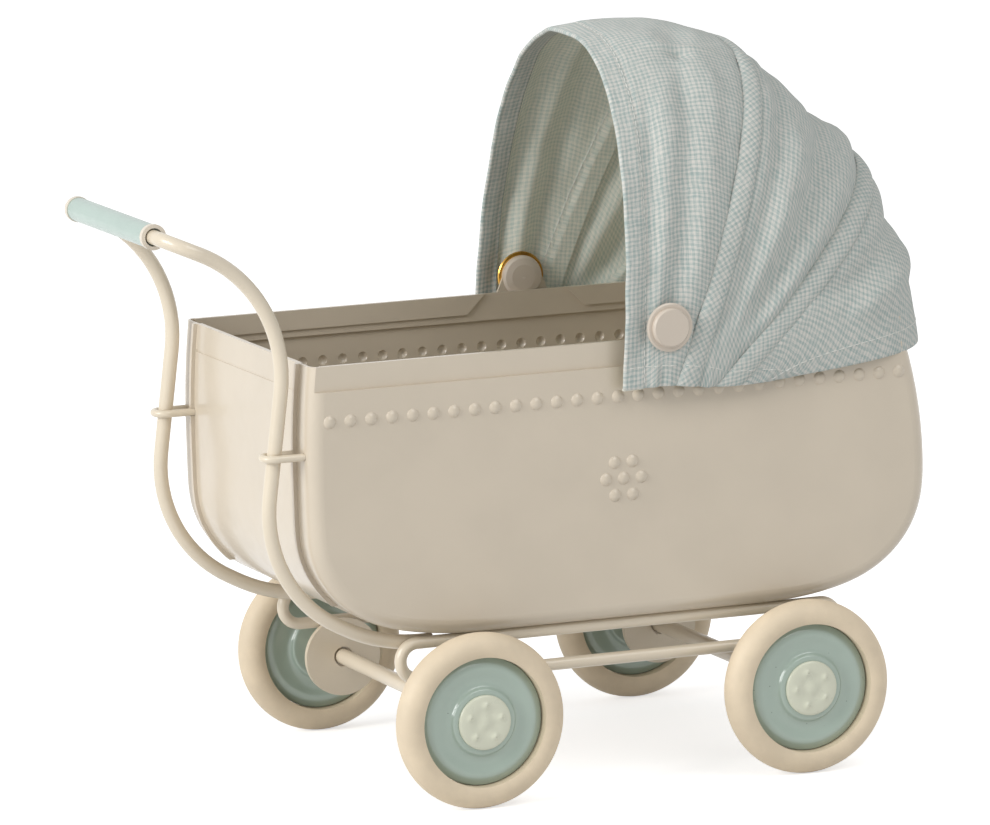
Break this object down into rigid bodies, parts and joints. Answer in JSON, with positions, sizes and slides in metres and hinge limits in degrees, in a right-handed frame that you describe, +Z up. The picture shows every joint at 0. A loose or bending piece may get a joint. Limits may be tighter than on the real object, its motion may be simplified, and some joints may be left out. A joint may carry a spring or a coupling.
{
  "type": "doll pram",
  "caption": "Small metal doll pram: pressed tub with raised dots on wire loops, round-section wheels, bent-rod handle with a loose grip, and a checked cloth hood that folds back.",
  "frame": {"origin": "middle of the overall footprint, on the ground under the wheels", "axes": "+X from the handle towards the hood, +Y to the left side, +Z up"},
  "size_m": [0.1646, 0.0916, 0.1475],
  "materials": {
    "tub_enamel": "satin gloss enamel, warm grey cream",
    "frame_enamel": "satin gloss enamel, cream",
    "snap_enamel": "satin enamel, cream",
    "snap_brass": "polished",
    "tyre_cream": "smooth matte, cream",
    "wheel_enamel": "gloss enamel, grey mint with fine specks",
    "cap_enamel": "gloss enamel, pale mint cream",
    "grip_paint": "satin paint, mint",
    "ring_paint": "satin paint, cream",
    "bow_steel": "drawn wire, hidden in the cloth",
    "canopy_cloth": "fine woven mint and white check, cotton"
  },
  "bodies": {
    "frame": {"tub_wrap": "tub_enamel", "handle_frame": "frame_enamel", "canopy_skirt": "canopy_cloth", "side_panel_left": "tub_enamel", "side_panel_right": "tub_enamel", "frame_clip_left": "frame_enamel", "frame_clip_right": "frame_enamel", "side_loop_left": "frame_enamel", "side_loop_right": "frame_enamel", "snap_stud_left": "snap_enamel", "snap_stud_right": "snap_enamel", "snap_ring_left": "snap_brass", "snap_ring_right": "snap_brass", "snap_cap_left": "snap_enamel", "snap_cap_right": "snap_enamel", "hanger_plate_front_left": "frame_enamel", "hanger_plate_front_right": "frame_enamel", "hanger_plate_rear_left": "frame_enamel", "hanger_plate_rear_right": "frame_enamel"},
    "wheelset_front": {"axle_front": "frame_enamel", "axle_spacer_front_left": "frame_enamel", "axle_spacer_front_right": "frame_enamel", "inner_disc_front_left": "wheel_enamel", "inner_disc_front_right": "wheel_enamel", "outer_disc_front_left": "wheel_enamel", "outer_disc_front_right": "wheel_enamel", "tyre_front_left": "tyre_cream", "tyre_front_right": "tyre_cream", "hub_cap_front_left": "cap_enamel", "hub_cap_front_right": "cap_enamel"},
    "wheelset_rear": {"axle_rear": "frame_enamel", "axle_spacer_rear_left": "frame_enamel", "axle_spacer_rear_right": "frame_enamel", "inner_disc_rear_left": "wheel_enamel", "inner_disc_rear_right": "wheel_enamel", "outer_disc_rear_left": "wheel_enamel", "outer_disc_rear_right": "wheel_enamel", "tyre_rear_left": "tyre_cream", "tyre_rear_right": "tyre_cream", "hub_cap_rear_left": "cap_enamel", "hub_cap_rear_right": "cap_enamel"},
    "grip": {"grip_sleeve": "grip_paint", "grip_ring_left": "ring_paint", "grip_ring_right": "ring_paint"},
    "back_bow_set": {"back_bow": "bow_steel", "back_gore": "canopy_cloth"},
    "middle_bow_set": {"middle_bow": "bow_steel", "middle_gore": "canopy_cloth"},
    "lead_bow_set": {"lead_bow": "bow_steel", "lead_gore": "canopy_cloth"}
  },
  "joints": [
    {"name": "front_wheels_spin", "type": "hinge", "parent": "frame", "child": "wheelset_front", "pos_m": [0.04796, 0, 0.0175], "axis": [0, 1, 0], "continuous": true},
    {"name": "rear_wheels_spin", "type": "hinge", "parent": "frame", "child": "wheelset_rear", "pos_m": [-0.02224, 0, 0.0175], "axis": [0, 1, 0], "continuous": true},
    {"name": "grip_spin", "type": "hinge", "parent": "frame", "child": "grip", "pos_m": [-0.07974, 0, 0.1146], "axis": [0, 1, 0], "continuous": true},
    {"name": "back_bow_fold", "type": "hinge", "parent": "frame", "child": "back_bow_set", "pos_m": [0.02116, 0, 0.0913], "axis": [0, 1, 0], "range_deg": [0, 22]},
    {"name": "middle_bow_fold", "type": "hinge", "parent": "back_bow_set", "child": "middle_bow_set", "pos_m": [0.02116, 0, 0.0913], "axis": [0, 1, 0], "range_deg": [0, 21]},
    {"name": "lead_bow_fold", "type": "hinge", "parent": "middle_bow_set", "child": "lead_bow_set", "pos_m": [0.02116, 0, 0.0913], "axis": [0, 1, 0], "range_deg": [0, 24]}
  ],
  "couplings": [
    {"joint": "middle_bow_fold", "follows": "back_bow_fold", "ratio": 0.9544},
    {"joint": "lead_bow_fold", "follows": "back_bow_fold", "ratio": 1.0908}
  ]
}
